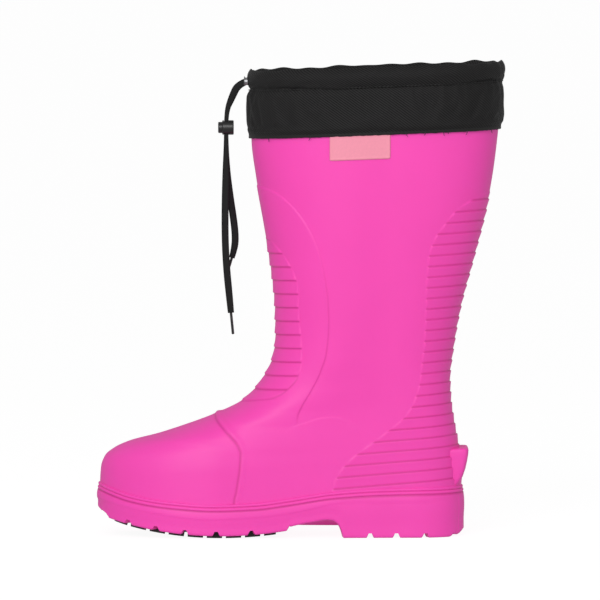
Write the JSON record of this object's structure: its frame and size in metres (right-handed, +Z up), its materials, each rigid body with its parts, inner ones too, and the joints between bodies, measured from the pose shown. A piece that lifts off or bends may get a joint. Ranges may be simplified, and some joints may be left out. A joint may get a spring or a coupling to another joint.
{
  "type": "insulated winter boot",
  "caption": "Tall moulded foam winter boot with a felt inner boot, rubber treads and a nylon collar closed by a drawcord and a spring cord lock.",
  "frame": {"origin": "on the floor under the middle of the heel, in the boot's middle plane", "axes": "-X towards the toe, +X towards the heel, -Y towards the outer side of the left foot, +Z up the shaft"},
  "size_m": [0.3232, 0.1228, 0.3747],
  "materials": {
    "shell_foam": "satin",
    "tread_rubber": "matte",
    "felt": "matte",
    "insole_foil": "matte",
    "nylon": "matte",
    "label_silicone": "matte",
    "cord": "matte",
    "black_plastic": "satin",
    "eyelet_metal": "satin",
    "spring_steel": "satin"
  },
  "bodies": {
    "boot": {"boot_shell": "shell_foam", "forefoot_tread": "tread_rubber", "heel_tread": "tread_rubber", "felt_liner": "felt", "insole": "insole_foil", "collar_outer": "nylon", "collar_lining": "nylon", "collar_binding": "nylon", "side_label": "label_silicone", "eyelet_outer": "eyelet_metal", "eyelet_inner": "eyelet_metal", "channel_cord": "cord", "lace_near": "cord", "lace_far": "cord", "aglet_near": "black_plastic", "aglet_far": "black_plastic"},
    "cord_lock": {"lock_barrel": "black_plastic", "lock_spring": "spring_steel"},
    "lock_button": {"lock_button": "black_plastic"}
  },
  "joints": [
    {"name": "lock_slide", "type": "slide", "parent": "boot", "child": "cord_lock", "axis": [0, 0, -1], "range_m": [0, 0.012]},
    {"name": "button_press", "type": "slide", "parent": "cord_lock", "child": "lock_button", "axis": [1, 0, 0], "range_m": [0, 0.0014], "stiffness_N_per_m": 900, "springref_m": -0.001, "deforming": ["lock_spring"]}
  ]
}
